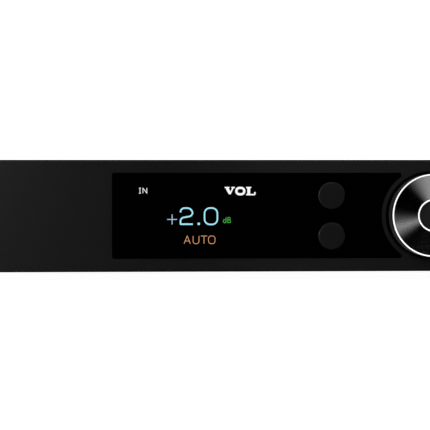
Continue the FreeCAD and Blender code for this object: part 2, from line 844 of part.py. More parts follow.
def switch_housing():
    wide, high, thick = switch_flange
    flange = centred(switch_x, middle, wide, high, (rear_face, rear_face + thick))
    flange = flange.makeFillet(1, edges_along(flange, 1))
    flange = flange.makeChamfer(0.4, edges_at(flange, 1, rear_face + thick))
    wide, high, deep = switch_body
    body = centred(switch_x, middle, wide, high, (rear_face - deep, rear_face))
    mouth = rear_face + thick
    wide, high, deep = switch_opening
    cavity = centred(switch_x, middle, wide, high, (mouth - deep, mouth))
    half = rocker_width / 2 + rocker_pin[1] + 0.1
    pivot = axle(rocker_pin[0] + 0.05, (switch_x - half, switch_x + half), rocker_y, middle)
    return fused([flange, body]).cut([cavity, pivot])


def power_rocker():
    x = (switch_x - rocker_width / 2, switch_x + rocker_width / 2)
    paddle = extruded([(rocker_y + y, middle + z) for y, z in rocker_profile], x)
    pin = axle(rocker_pin[0], (x[0] - rocker_pin[1], x[1] + rocker_pin[1]), rocker_y, middle)
    rocker = fused([paddle, pin])
    rocker.rotate(V(switch_x, rocker_y, middle), V(1, 0, 0), rocker_tilt)
    return rocker


# Antenna


def antenna_socket():
    bore_end = rear_face + thread_length
    thread = rod(thread_radius, (rear_inner - socket_tail, bore_end), antenna_x, antenna_z)
    nuts = [
        placed(hexagon(socket_nut[0], socket_nut[1]), V(antenna_x, y, antenna_z), ALONG_Y)
        for y in (rear_face, rear_inner - socket_nut[1])
    ]
    bore = rod(socket_bore, (bore_end - 7, bore_end), antenna_x, antenna_z)
    contact = rod(socket_contact, (bore_end - 7, bore_end - 1), antenna_x, antenna_z)
    return fused([fused([thread] + nuts).cut(bore), contact])


def antenna_base():
    barrel = rod(barrel_radius, (barrel_start, elbow_y), antenna_x, antenna_z)
    ears = post(barrel_radius, elbow_z, antenna_x, elbow_y)
    bore_end = rear_face + thread_length + 0.3
    bore = rod(thread_radius + 0.05, (barrel_start, bore_end), antenna_x, antenna_z)
    reach = barrel_radius + 1
    slot_x = (antenna_x - reach, antenna_x + reach)
    slot_y = (elbow_y - tongue_radius - 0.3, elbow_y + reach)
    slot = block(slot_x, slot_y, (antenna_z - elbow_slot, antenna_z + elbow_slot))
    return fused([barrel, ears]).cut([bore, slot, post(hinge_pin_radius, elbow_z, antenna_x, elbow_y)])


def antenna_pin():
    return post(hinge_pin_radius, elbow_z, antenna_x, elbow_y)


def antenna_stub():
    z = (antenna_z - tongue_half, antenna_z + tongue_half)
    tongue = post(tongue_radius, z, antenna_x, elbow_y)
    neck = block((antenna_x, antenna_x + stub_start + 0.5), (elbow_y - 2.6, elbow_y + 2.6), z)
    start = V(antenna_x + stub_start, elbow_y, antenna_z)
    rod_length = stub_length - stub_start
    stub = Part.makeCone(stub_radii[0], stub_radii[1], rod_length, start, V(1, 0, 0))
    stub = stub.makeFillet(1.2, edges_at(stub, 0, antenna_x + stub_length))
    stub = stub.makeFillet(0.5, edges_at(stub, 0, antenna_x + stub_start))
    return fused([tongue, neck, stub]).cut(post(hinge_pin_radius + 0.05, z, antenna_x, elbow_y))


# Fasteners


def pan_head_screws():
    forwards = V(0, -1, 0)
    screws = [screw(V(x, panel_back + sheet, z), forwards) for x, z in front_screw_places]
    screws += [screw(V(x, rear_face, z), forwards) for x, z in rear_screw_places]
    screws += [screw(V(x, rear_face + xlr_flange[2], z), forwards) for x, z in xlr_screw_places()]
    screws += [screw(V(x, y, board_top), V(0, 0, -1)) for x, y in standoff_places]
    screws += [screw(V(x, y, foot_recess[1]), V(0, 0, 1)) for x, y in foot_places()]
    return Part.makeCompound(screws)


def cover_screws():
    places = [(sign, y, z) for sign in (-1, 1) for y, z in cover_screw_places]
    screws = [countersunk_screw(V(sign * side, y, z), V(-sign, 0, 0)) for sign, y, z in places]
    return Part.makeCompound(screws)


button_high, button_low = button_heights()
foot_names = ("foot_front_left", "foot_front_right", "foot_rear_left", "foot_rear_right")

nodes = {
    "front_panel": front_panel(),
    "display_window": display_window(),
    "base_tray": base_tray(),
    "top_cover": top_cover(),
    "rear_panel": rear_panel(),
    "volume_knob": volume_knob(),
    "knob_cap": knob_cap(),
    "knob_set_screw": knob_set_screw(),
    "encoder_body": encoder_body(),
    "encoder_nut": encoder_nut(),
    "encoder_shaft": encoder_shaft(),
    "encoder_plunger": encoder_plunger(),
    "upper_button": push_button(button_high),
    "lower_button": push_button(button_low),
    "tact_switches": Part.makeCompound([tact_switch(button_high), tact_switch(button_low)]),
    "display_module": display_module(),
    "infrared_receiver": infrared_receiver(),
    "control_board": control_board(),
    "main_board": main_board(),
    "power_board": power_board(),
    "board_standoffs": board_standoffs(),
    "converter_chips": converter_chips(),
    "filter_capacitors": filter_capacitors(),
    "output_relays": output_relays(),
    "bluetooth_module": bluetooth_module(),
    "mains_transformer": mains_transformer(),
    "bulk_capacitor": bulk_capacitor(),
    "heat_sink": heat_sink(),
    "board_connectors": board_connectors(),
    "ribbon_cable": ribbon_cable(),
    "mains_wires": mains_wires(),
    "antenna_lead": antenna_lead(),
    "left_xlr_shell": xlr_shell(left_xlr_x),
    "left_xlr_insert": xlr_insert(left_xlr_x),
    "right_xlr_shell": xlr_shell(right_xlr_x),
    "right_xlr_insert": xlr_insert(right_xlr_x),
    "line_jack_housing": phono_housing(phono_x, [phono_low, phono_high]),
    "left_line_jack": phono_shell(phono_x, phono_high),
    "right_line_jack": phono_shell(phono_x, phono_low),
    "coax_jack_housing": phono_housing(coax_x, [coax_z]),
    "coax_jack": phono_shell(coax_x, coax_z),
    "optical_socket": optical_socket(),
    "optical_flap": optical_flap(),
    "usb_shell": usb_shell(),
    "usb_insert": usb_insert(),
    "inlet_housing": inlet_housing(),
    "inlet_blades": inlet_blades(),
    "switch_housing": switch_housing(),
    "power_rocker": power_rocker(),
    "antenna_socket": antenna_socket(),
    "antenna_base": antenna_base(),
    "antenna_pin": antenna_pin(),
    "antenna_stub": antenna_stub(),
    "pan_head_screws": pan_head_screws(),
    "cover_screws": cover_screws(),
}
for name, (x, y) in zip(foot_names, foot_places()):
    nodes[name] = foot(x, y)

os.makedirs("parts", exist_ok=True)
for name, shape in nodes.items():
    shape.exportStep(f"parts/{name}.step")
    print(name, len(shape.Solids), "solids", round(shape.Volume), "mm3", shape.isValid())
print(len(nodes), "nodes")
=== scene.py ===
import json
from math import atan2, cos, hypot, pi, radians, sin, tan

import bmesh
import bpy
from mathutils import Matrix, Vector


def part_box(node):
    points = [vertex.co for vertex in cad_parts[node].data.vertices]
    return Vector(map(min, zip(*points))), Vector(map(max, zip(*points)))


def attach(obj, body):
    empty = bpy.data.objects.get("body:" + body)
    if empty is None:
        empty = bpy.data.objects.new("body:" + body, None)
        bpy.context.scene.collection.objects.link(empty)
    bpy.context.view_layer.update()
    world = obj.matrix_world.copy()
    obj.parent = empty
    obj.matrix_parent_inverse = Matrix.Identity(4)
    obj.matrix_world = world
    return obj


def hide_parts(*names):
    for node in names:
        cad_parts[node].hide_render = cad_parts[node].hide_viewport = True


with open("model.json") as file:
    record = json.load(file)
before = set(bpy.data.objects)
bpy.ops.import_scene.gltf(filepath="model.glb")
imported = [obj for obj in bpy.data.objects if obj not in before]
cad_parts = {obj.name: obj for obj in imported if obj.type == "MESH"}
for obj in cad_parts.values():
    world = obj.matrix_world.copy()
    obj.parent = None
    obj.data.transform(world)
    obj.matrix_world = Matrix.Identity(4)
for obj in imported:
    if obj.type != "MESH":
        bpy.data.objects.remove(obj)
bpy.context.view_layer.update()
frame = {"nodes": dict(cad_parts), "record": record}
nodes = frame["nodes"]
mm = 0.001
print("frame loaded:", len(nodes), "parts")


# Nodes of a material, kept short

def startMaterial(name, colour, roughness, metallic=0.0, **sockets):
    made = bpy.data.materials.new(name)
    made.use_nodes = True
    shader = made.node_tree.nodes["Principled BSDF"]
    shader.inputs["Base Color"].default_value = (*colour, 1)
    shader.inputs["Roughness"].default_value = roughness
    shader.inputs["Metallic"].default_value = metallic
    for socket, value in sockets.items():
        shader.inputs[socket.replace("_", " ")].default_value = value
    return made, made.node_tree, shader


def addNode(tree, kind, inputs=None, **settings):
    node = tree.nodes.new("ShaderNode" + kind)
    for name, value in settings.items():
        setattr(node, name, value)
    for name, value in (inputs or {}).items():
        if isinstance(value, bpy.types.NodeSocket):
            tree.links.new(value, node.inputs[name])
        else:
            node.inputs[name].default_value = value
    return node


def objectPoint(tree, stretch=(1, 1, 1), offset=(0, 0, 0)):
    place = addNode(tree, "TexCoord").outputs["Object"]
    inputs = {"Vector": place, "Scale": stretch, "Location": offset}
    return addNode(tree, "Mapping", inputs).outputs["Vector"]


def noise(tree, point, size, detail=2.0, rough=0.5):
    inputs = {"Vector": point, "Scale": 1 / size, "Detail": detail, "Roughness": rough}
    return addNode(tree, "TexNoise", inputs).outputs["Fac"]


def spread(tree, value, low, high, start=0.3, end=0.7):
    inputs = {"Value": value, "From Min": start, "From Max": end, "To Min": low, "To Max": high}
    return addNode(tree, "MapRange", inputs).outputs["Result"]


def blendColours(tree, value, first, second):
    node = addNode(tree, "Mix", data_type="RGBA")
    for name, colour in (("A", first), ("B", second)):
        socket = next(s for s in node.inputs if s.name == name and s.type == "RGBA")
        if isinstance(colour, bpy.types.NodeSocket):
            tree.links.new(colour, socket)
        else:
            socket.default_value = (*colour, 1)
    tree.links.new(value, node.inputs["Factor"])
    return next(s for s in node.outputs if s.type == "RGBA")


def arithmetic(tree, operation, first, second):
    node = addNode(tree, "Math", operation=operation)
    for socket, value in zip(node.inputs, (first, second)):
        if isinstance(value, bpy.types.NodeSocket):
            tree.links.new(value, socket)
        else:
            socket.default_value = value
    return node.outputs[0]


def addBump(tree, shader, height, depth):
    bump = addNode(tree, "Bump", {"Height": height, "Distance": depth, "Strength": 1.0})
    tree.links.new(bump.outputs["Normal"], shader.inputs["Normal"])


# A surface with fine grain, a slow drift of colour and gloss, and grain you can feel

drift = {"share": 0.12, "size": 30 * mm, "offset": (0.3, 0.1, 0.2)}  # the slow part of the grain


def grainFinish(name, dark, light, rough, grain, depth, metallic=0.0, stretch=(1, 1, 1), **sockets):
    made, tree, shader = startMaterial(name, dark, rough[0], metallic, **sockets)
    fine = noise(tree, objectPoint(tree, stretch), grain, 3)
    slow = noise(tree, objectPoint(tree, stretch, drift["offset"]), drift["size"], 1)
    fineShare = arithmetic(tree, "MULTIPLY", fine, 1 - drift["share"])
    slowShare = arithmetic(tree, "MULTIPLY", slow, drift["share"])
    mixed = arithmetic(tree, "ADD", fineShare, slowShare)
    tree.links.new(blendColours(tree, spread(tree, mixed, 0, 1), dark, light), shader.inputs["Base Color"])
    tree.links.new(spread(tree, mixed, *rough), shader.inputs["Roughness"])
    if depth:
        addBump(tree, shader, fine, depth)
    return made


grainFinishes = {
    "panel_black": dict(dark=(0.0070, 0.0070, 0.0073), light=(0.0100, 0.0100, 0.0103), rough=(0.58, 0.68),
                        grain=0.14 * mm, depth=0.004 * mm, Specular_IOR_Level=0.38),
    "case_black": dict(dark=(0.016, 0.016, 0.017), light=(0.026, 0.026, 0.027), rough=(0.48, 0.62),
                       grain=0.32 * mm, depth=0.022 * mm),
    "window_black": dict(dark=(0.0012, 0.0012, 0.0014), light=(0.0018, 0.0018, 0.002), rough=(0.03, 0.05),
                         grain=2.5 * mm, depth=0),
    "steel": dict(dark=(0.36, 0.36, 0.37), light=(0.52, 0.52, 0.53), rough=(0.24, 0.36),
                  grain=0.2 * mm, depth=0.003 * mm, metallic=1.0, stretch=(1, 6, 1)),
    "screw_black": dict(dark=(0.030, 0.030, 0.033), light=(0.060, 0.060, 0.064), rough=(0.30, 0.42),
                        grain=0.18 * mm, depth=0.003 * mm, metallic=1.0),
    "shell_nickel": dict(dark=(0.46, 0.45, 0.43), light=(0.62, 0.61, 0.58), rough=(0.22, 0.34),
                         grain=0.25 * mm, depth=0.003 * mm, metallic=1.0),
    "contact_gold": dict(dark=(0.72, 0.48, 0.16), light=(0.88, 0.64, 0.27), rough=(0.14, 0.24),
                         grain=0.2 * mm, depth=0.002 * mm, metallic=1.0, stretch=(1, 4, 1)),
    "plug_black": dict(dark=(0.012, 0.012, 0.013), light=(0.022, 0.022, 0.023), rough=(0.40, 0.55),
                       grain=0.22 * mm, depth=0.008 * mm),
    "button_black": dict(dark=(0.0112, 0.0112, 0.0116), light=(0.0137, 0.0137, 0.0141), rough=(0.56, 0.64),
                         grain=0.12 * mm, depth=0.003 * mm),
    "knob_centre": dict(dark=(0.038, 0.038, 0.039), light=(0.047, 0.047, 0.048), rough=(0.52, 0.60),
                        grain=0.12 * mm, depth=0.003 * mm),
    "chip_black": dict(dark=(0.014, 0.014, 0.015), light=(0.024, 0.024, 0.025), rough=(0.50, 0.62),
                       grain=0.12 * mm, depth=0.005 * mm),
    "relay_white": dict(dark=(0.62, 0.62, 0.59), light=(0.74, 0.74, 0.71), rough=(0.38, 0.48),
                        grain=0.3 * mm, depth=0.006 * mm),
    "sink_black": dict(dark=(0.020, 0.020, 0.021), light=(0.034, 0.034, 0.035), rough=(0.36, 0.48),
                       grain=0.3 * mm, depth=0.006 * mm, stretch=(1, 1, 0.1)),
    "wire_black": dict(dark=(0.016, 0.016, 0.017), light=(0.028, 0.028, 0.029), rough=(0.42, 0.55),
                       grain=0.4 * mm, depth=0.006 * mm),
    "display_black": dict(dark=(0.002, 0.002, 0.003), light=(0.004, 0.004, 0.005), rough=(0.05, 0.09),
                          grain=1.5 * mm, depth=0),
    "foot_black": dict(dark=(0.012, 0.012, 0.012), light=(0.022, 0.022, 0.022), rough=(0.68, 0.82),
                       grain=0.28 * mm, depth=0.018 * mm),
    "antenna_black": dict(dark=(0.014, 0.014, 0.015), light=(0.024, 0.024, 0.025), rough=(0.42, 0.52),
                          grain=0.2 * mm, depth=0.008 * mm),
}
finishes = {name: grainFinish(name, **look) for name, look in grainFinishes.items()}


# Finishes with a pattern of their own

board = {
    "mask": (0.004, 0.022, 0.014),
    "copper": (0.008, 0.045, 0.028),
    "track": 1.6 * mm,
    "gap": (0.02, 0.05),  # share of a track's size where the copper starts to drop, and where it is gone
    "rough": (0.38, 0.26),
    "depth": 0.03 * mm,
}


def boardFinish(look):
    made, tree, shader = startMaterial("board_black", look["mask"], look["rough"][0])
    cells = addNode(tree, "TexVoronoi", {"Vector": objectPoint(tree), "Scale": 1 / look["track"]},
                    distance="MANHATTAN", feature="DISTANCE_TO_EDGE")
    tracks = spread(tree, cells.outputs["Distance"], 1, 0, *look["gap"])
    tree.links.new(blendColours(tree, tracks, look["mask"], look["copper"]), shader.inputs["Base Color"])
    tree.links.new(spread(tree, tracks, *look["rough"], 0, 1), shader.inputs["Roughness"])
    addBump(tree, shader, tracks, look["depth"])
    return made


def stripedFinish(name, dark, light, axis, pitch, rough, depth, metallic=0.0):
    made, tree, shader = startMaterial(name, dark, rough[0], metallic)
    wave = addNode(tree, "TexWave", {"Vector": objectPoint(tree), "Scale": 2 * pi / (20 * pitch)},
                   bands_direction=axis)
    fine = noise(tree, objectPoint(tree), 0.3 * mm, 2)
    mixed = arithmetic(tree, "MULTIPLY", wave.outputs["Fac"], spread(tree, fine, 0.8, 1.0))
    tree.links.new(blendColours(tree, mixed, dark, light), shader.inputs["Base Color"])
    tree.links.new(spread(tree, fine, *rough), shader.inputs["Roughness"])
    addBump(tree, shader, mixed, depth)
    return made


stripedFinishes = {
    "core_steel": dict(dark=(0.05, 0.05, 0.052), light=(0.16, 0.155, 0.15), axis="X", pitch=0.5 * mm,
                       rough=(0.34, 0.46), depth=0.05 * mm, metallic=0.8),
    "can_sleeve": dict(dark=(0.008, 0.010, 0.022), light=(0.016, 0.020, 0.045), axis="Z", pitch=6 * mm,
                       rough=(0.22, 0.30), depth=0.004 * mm),
    "ribbon_grey": dict(dark=(0.25, 0.25, 0.26), light=(0.50, 0.50, 0.51), axis="X", pitch=1.27 * mm,
                        rough=(0.42, 0.52), depth=0.12 * mm),
}
finishes["board_black"] = boardFinish(board)
finishes.update({name: stripedFinish(name, **look) for name, look in stripedFinishes.items()})
for part in frame["record"]["subparts"]:
    if part["material_slot"] in finishes:
        nodes[part["node"]].data.materials[0] = finishes[part["material_slot"]]
print("finishes on the CAD parts:", len(finishes))


# Shaping helpers

mergeGap = 0.0001 * mm


def finishPiece(name, bm, materials, body, stoodFor=(), sharpAngle=25):
    bmesh.ops.remove_doubles(bm, verts=bm.verts, dist=mergeGap)
    bmesh.ops.recalc_face_normals(bm, faces=bm.faces)
    mesh = bpy.data.meshes.new(name)
    bm.to_mesh(mesh)
    bm.free()
    for made in materials:
        mesh.materials.append(made)
    mesh.shade_smooth()
    mesh.set_sharp_from_angle(angle=radians(sharpAngle))
    piece = bpy.data.objects.new(name, mesh)
    bpy.context.scene.collection.objects.link(piece)
    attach(piece, body)
    if stoodFor:
        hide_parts(*stoodFor)
    return piece


def spinProfile(profile, centre, steps):
    bm = bmesh.new()
    x, front, z = centre
    points = [bm.verts.new((x + radius * mm, front + depth * mm, z)) for radius, depth in profile]
    runs = [bm.edges.new(pair) for pair in zip(points, points[1:])]
    bmesh.ops.spin(bm, geom=points + runs, cent=centre, axis=(0, 1, 0), dvec=(0, 0, 0), angle=2 * pi,
                   steps=steps, use_merge=True, use_duplicate=False)
    bmesh.ops.remove_doubles(bm, verts=bm.verts, dist=mergeGap)
    return bm


def faceDirection(node):
    low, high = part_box(node)
    return Vector(((low.x + high.x) / 2, low.y, (low.z + high.z) / 2))


# Volume knob: a spun face between two bright cut rings

def spunFinish(name, look):
    made, tree, shader = startMaterial(name, look["colour"], look["roughness"], 1.0,
                                       Anisotropic=look["anisotropy"])
    across = addNode(tree, "SeparateXYZ", {"Vector": addNode(tree, "UVMap", uv_map="Polar").outputs["UV"]})
    rings = addNode(tree, "CombineXYZ", {"X": across.outputs["X"]}).outputs["Vector"]
    grooves = noise(tree, rings, look["groove"], 2)
    tone = spread(tree, grooves, 0, 1)
    tree.links.new(blendColours(tree, tone, look["colour"], look["light"]), shader.inputs["Base Color"])
    addBump(tree, shader, grooves, look["depth"])
    tangent = addNode(tree, "Tangent", direction_type="UV_MAP", uv_map="Polar")
    tree.links.new(tangent.outputs["Tangent"], shader.inputs["Tangent"])
    return made


def knurledFinish(name, look):
    made, tree, shader = startMaterial(name, look["dark"], look["roughness"])
    across = addNode(tree, "SeparateXYZ", {"Vector": addNode(tree, "UVMap", uv_map="Polar").outputs["UV"]})
    turns = arithmetic(tree, "MULTIPLY", across.outputs["Y"], look["lines"] / angleScale)
    ridge = spread(tree, arithmetic(tree, "SINE", turns, 0), 0, 1, -1, 1)
    tree.links.new(blendColours(tree, ridge, look["dark"], look["light"]), shader.inputs["Base Color"])
    addBump(tree, shader, ridge, look["depth"])
    return made


angleScale = 0.01  # the polar map holds radians times this, so that both of its sides are near a centimetre
knob = {
    "steps": 256,
    "face": dict(colour=(0.34, 0.34, 0.344), light=(0.40, 0.40, 0.404), roughness=0.13, anisotropy=1.0,
                 groove=0.10 * mm, depth=0.0004 * mm),
    "faceRings": 8,
    "faceInner": 5.83,
    "faceOuter": 14.26,
    "faceSlope": 8.0,  # degrees, so that the face falls away from its middle
    "rim": 0.44,  # width and depth of the outer bright edge
    "innerRim": 0.41,  # depth of the inner bright edge
    "dish": (5.28, 1.2),  # radius and depth of the recess in the middle
    "grip": (4.9, 11.6),  # where the satin band of the side starts and ends, behind the front of the knob
    "back": 16,
    "hollow": (12.2, 7),  # radius and start of the hollow behind the face
    "boss": (6.5, 13.5),
    "bore": (3.05, 4.5),  # for the shaft
    "cut": dict(dark=(0.93, 0.93, 0.93), light=(0.96, 0.96, 0.96), rough=(0.10, 0.16), grain=0.3 * mm,
                depth=0, metallic=1.0),
    # painted shade: near black with no specular reflection, so the dish wall and the knob's side ahead of
    # and behind the grip stay black as if in shade
    "paintedShadeBlack": dict(dark=(0.003, 0.003, 0.003), light=(0.005, 0.005, 0.005), rough=(0.6, 0.7),
                   grain=0.2 * mm, depth=0, Specular_IOR_Level=0.0),
    "knurl": dict(dark=(0.028, 0.028, 0.029), light=(0.050, 0.050, 0.051), lines=240, depth=0.04 * mm,
                  roughness=0.45),
}


def knobProfile():
    inner, outer, slope = knob["faceInner"], knob["faceOuter"], tan(radians(knob["faceSlope"]))
    dish, floor = knob["dish"]
    profile = [(0, floor, "dish"), (dish, floor, "dish"), (dish, knob["innerRim"], "cut")]
    for ring in range(knob["faceRings"]):
        radius = inner + (outer - inner) * ring / knob["faceRings"]
        profile.append((radius, (radius - inner) * slope, "face"))
    drop = (outer - inner) * slope
    side = outer + knob["rim"]
    profile += [(outer, drop, "cut"), (side, drop + knob["rim"], "dish"), (side, knob["grip"][0], "grip")]
    profile += [(side, knob["grip"][1], "dish"), (side, knob["back"], "dish")]
    wall, hollow = knob["hollow"]
    boss, bossEnd = knob["boss"]
    bore, boreStart = knob["bore"]
    behind = [(wall, knob["back"]), (wall, hollow), (boss, hollow), (boss, bossEnd), (bore, bossEnd)]
    return profile + [(*corner, "dish") for corner in behind + [(bore, boreStart), (0, boreStart)]]


def makeKnob():
    centre = faceDirection("volume_knob")
    profile = knobProfile()
    # the zone named dish takes the painted-shade black finish
    order = ["face", "cut", "dish", "grip"]
    bm = spinProfile([(radius, depth) for radius, depth, zone in profile], centre, knob["steps"])
    polar = bm.loops.layers.uv.new("Polar")
    for face in bm.faces:
        middle = face.calc_center_median() - centre
        turn = atan2(middle.z, middle.x)
        here = Vector((hypot(middle.x, middle.z) / cos(pi / knob["steps"]) / mm, middle.y / mm))
        best = None
        for (r1, d1, zone), (r2, d2, _) in zip(profile, profile[1:]):
            a, b = Vector((r1, d1)), Vector((r2, d2))
            share = max(0, min(1, (here - a).dot(b - a) / (b - a).length_squared))
            gap = (here - a - (b - a) * share).length
            if best is None or gap < best[0]:
                best = (gap, zone)
        face.material_index = order.index(best[1])
        for loop in face.loops:
            spot = loop.vert.co - centre
            angle = atan2(spot.z, spot.x) if hypot(spot.x, spot.z) > 0.01 * mm else turn
            angle += 2 * pi * round((turn - angle) / (2 * pi))
            loop[polar].uv = (hypot(spot.x, spot.z), angle * angleScale)
    looks = [spunFinish("knobSpunFace", knob["face"]), grainFinish("knobCutEdge", **knob["cut"]),
             grainFinish("knobPaintedShade", **knob["paintedShadeBlack"]), knurledFinish("knobGrip", knob["knurl"])]
    return finishPiece("volumeKnobSpun", bm, looks, "knob", ["volume_knob"])


knobPiece = makeKnob()

centreDisc = {"radius": 5.0, "thick": 0.6, "edge": 0.12, "steps": 128}


def makeCentreDisc():
    size = centreDisc
    outer, edge, thick = size["radius"], size["edge"], size["thick"]
    profile = [(0, 0), (outer - edge, 0), (outer, edge), (outer, thick), (0, thick)]
    bm = spinProfile(profile, faceDirection("knob_cap"), size["steps"])
    return finishPiece("knobCentreDisc", bm, [finishes["knob_centre"]], "knob", ["knob_cap"])


makeCentreDisc()
print("knob made")


# Buttons: a flat cap with a fine rounded rim, a flange behind the panel and a stem

button = {
    "steps": 96,
    "radius": 4.8,
    "rim": 0.35,
    "rimSteps": 5,
    "dish": (0.03, 1),  # depth of the flat middle, and the width of the slope round it
    "flange": (6.2, 8.9, 10.1),  # radius, front and back
    "stem": 1.6,
    # the rim is a polished edge with lower roughness, and its colour is about twice as light as the cap's
    # as a painted highlight
    "rimHighlightLook": dict(dark=(0.024, 0.024, 0.025), light=(0.030, 0.030, 0.031), rough=(0.24, 0.30),
                    grain=0.12 * mm, depth=0),
}
rimHighlightFinish = grainFinish("buttonRimHighlight", **button["rimHighlightLook"])


def makeButton(node, name):
    low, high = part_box(node)
    centre = faceDirection(node)
    reach = (high.y - low.y) / mm
    rim, outer = button["rim"], button["radius"]
    arc = [pi / 2 * step / button["rimSteps"] for step in range(button["rimSteps"] + 1)]
    dish, slope = button["dish"]
    flange, flangeStart, flangeEnd = button["flange"]
    profile = [(0, dish), (outer - rim - slope, dish)]
    profile += [(outer - rim + rim * sin(turn), rim - rim * cos(turn)) for turn in arc]
    profile += [(outer, flangeStart), (flange, flangeStart), (flange, flangeEnd)]
    profile += [(button["stem"], flangeEnd), (button["stem"], reach), (0, reach)]
    bm = spinProfile(profile, centre, button["steps"])
    for face in bm.faces:
        spot = (face.calc_center_median() - centre) / mm
        face.material_index = int(hypot(spot.x, spot.z) > outer - rim and spot.y < rim)
    return finishPiece(name, bm, [finishes["button_black"], rimHighlightFinish], node, [node])


buttonPieces = [makeButton("upper_button", "upperButtonCap"), makeButton("lower_button", "lowerButtonCap")]
print("buttons made")


# Lit characters on the display

glow = {"cell": 0.12 * mm, "strength": (0.94, 1.06)}
roundPull = 0.4477  # how far a handle is from the corner of a quarter circle, of its radius
stroke = {"stepsAlong": 8, "stepsRound": 3, "sharpAngle": 60}


def litFinish(name, colour):
    made, tree, shader = startMaterial(name, (0, 0, 0), 0.4)
    shader.inputs["Emission Color"].default_value = (*colour, 1)
    cells = noise(tree, objectPoint(tree), glow["cell"], 0)
    tree.links.new(spread(tree, cells, *glow["strength"]), shader.inputs["Emission Strength"])
    return made


def addStroke(curve, corners, closed=False):
    points = []
    for index, (x, z, bend) in enumerate(corners):
        here = Vector((x, 0, z)) * mm
        if not bend:
            points.append((here, here, here))
            continue
        before, after = corners[index - 1], corners[(index + 1) % len(corners)]
        back = (Vector((before[0] - x, 0, before[1] - z))).normalized()
        ahead = (Vector((after[0] - x, 0, after[1] - z))).normalized()
        pull = roundPull * bend * mm
        points.append((here + back * bend * mm, here + back * bend * mm, here + back * pull))
        points.append((here + ahead * bend * mm, here + ahead * pull, here + ahead * bend * mm))
    spline = curve.splines.new("BEZIER")
    spline.bezier_points.add(len(points) - 1)
    for knot, (place, left, right) in zip(spline.bezier_points, points):
        knot.handle_left_type = knot.handle_right_type = "FREE"
        knot.co, knot.handle_left, knot.handle_right = place, left, right
    spline.use_cyclic_u = closed
    spline.resolution_u = stroke["stepsAlong"]


def makeCharacters(name, groups, face, material, body="chassis", flat=0.03,
                   shift=None):
    bm = bmesh.new()
    for weight, strokes in groups:
        curve = bpy.data.curves.new(name, "CURVE")
        curve.dimensions = "3D"
        curve.bevel_depth = weight / 2 * mm
        curve.bevel_resolution = stroke["stepsRound"]
        curve.use_fill_caps = True
        for corners, closed in strokes:
            addStroke(curve, corners, closed)
        holder = bpy.data.objects.new(name + "Curve", curve)
        mesh = bpy.data.meshes.new_from_object(holder)
        bm.from_mesh(mesh)
        bpy.data.objects.remove(holder)
        bpy.data.curves.remove(curve)
        bpy.data.meshes.remove(mesh)
    bmesh.ops.scale(bm, vec=(1, flat, 1), verts=bm.verts)
    bmesh.ops.transform(bm, matrix=shift or Matrix.Translation((0, face, 0)), verts=bm.verts)
    return finishPiece(name, bm, [material], body, sharpAngle=stroke["sharpAngle"])


def placed(strokes, x, z):
    return [([(x + a, z + b, bend) for a, b, bend in corners], closed) for corners, closed in strokes]


display = {
    "digitColour": (0.36, 0.83, 0.94),
    "signColour": (0.42, 0.64, 0.84),
    "unitColour": (0.10, 0.66, 0.10),
    "wordColour": (0.94, 0.44, 0.17),
    "markColour": (1.0, 1.0, 1.0),
    "titleColour": (0.95, 0.95, 0.95),
    "stand": 0.018,  # how far the middle plane of the characters is in front of the window
}
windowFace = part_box("display_window")[0].y - display["stand"] * mm

digitTwo = [([(0, 4.2, 0), (0, 5.75, 1.5), (4.3, 5.75, 1.9), (4.3, 2.95, 1.2), (0, 2.2, 1.1), (0, 0, 0),
              (4.4, 0, 0)], False)]
digitZero = [([(0, 0, 1.9), (0, 5.85, 1.9), (4.6, 5.85, 1.9), (4.6, 0, 1.9)], True)]
makeCharacters("readoutDigits", [
    (0.54, placed(digitTwo, -12.35, 20.0) + placed(digitZero, -3.75, 19.9)),
    (0.84, [([(-6.24, 20.13, 0), (-5.42, 20.13, 0)], False)]),
], windowFace, litFinish("litCyan", display["digitColour"]))
makeCharacters("readoutSign", [
    (0.27, [([(-17.09, 21.7, 0), (-13.58, 21.7, 0)], False),
            ([(-15.34, 19.91, 0), (-15.34, 23.49, 0)], False)]),
], windowFace, litFinish("litLavender", display["signColour"]))
makeCharacters("readoutUnit", [
    (0.15, [([(3.95, 20.5, 0), (3.95, 22.4, 0)], False),
            ([(3.95, 20.5, 0.4), (2.97, 20.5, 0.45), (2.97, 21.6, 0.45), (3.95, 21.6, 0.4)], True),
            ([(4.6, 20.5, 0), (5.55, 20.5, 0.4), (5.55, 21.48, 0.4), (4.6, 21.48, 0)], False),
            ([(4.6, 21.48, 0), (5.43, 21.48, 0.35), (5.43, 22.37, 0.35), (4.6, 22.37, 0)], False),
            ([(4.6, 20.5, 0), (4.6, 22.37, 0)], False)]),
], windowFace, litFinish("litGreen", display["unitColour"]))

letterA = [([(0, 0, 0), (1.05, 2.75, 0), (1.15, 2.75, 0), (2.2, 0, 0)], False),
           ([(0.38, 0.95, 0), (1.82, 0.95, 0)], False)]
letterU = [([(0, 2.75, 0), (0, 0, 0.95), (2.1, 0, 0.95), (2.1, 2.75, 0)], False)]
letterT = [([(0, 2.75, 0), (2.2, 2.75, 0)], False), ([(1.1, 2.75, 0), (1.1, 0, 0)], False)]
letterO = [([(0, 0, 0.95), (0, 2.75, 0.95), (2.35, 2.75, 0.95), (2.35, 0, 0.95)], True)]
makeCharacters("modeWord", [
    (0.17, placed(letterA, -11.05, 13.03) + placed(letterU, -7.85, 13.03) + placed(letterT, -5.05, 13.03)
     + placed(letterO, -2.35, 13.03)),
], windowFace, litFinish("litOrange", display["wordColour"]))
makeCharacters("sourceWord", [
    (0.20, [([(-26.8, 31.07, 0), (-26.8, 32.89, 0)], False),
            ([(-27.15, 31.07, 0), (-26.45, 31.07, 0)], False),
            ([(-27.15, 32.89, 0), (-26.45, 32.89, 0)], False),
            ([(-25.75, 31.07, 0), (-25.75, 32.89, 0), (-24.35, 31.07, 0), (-24.35, 32.89, 0)], False)]),
], windowFace, litFinish("litGrey", display["markColour"]))
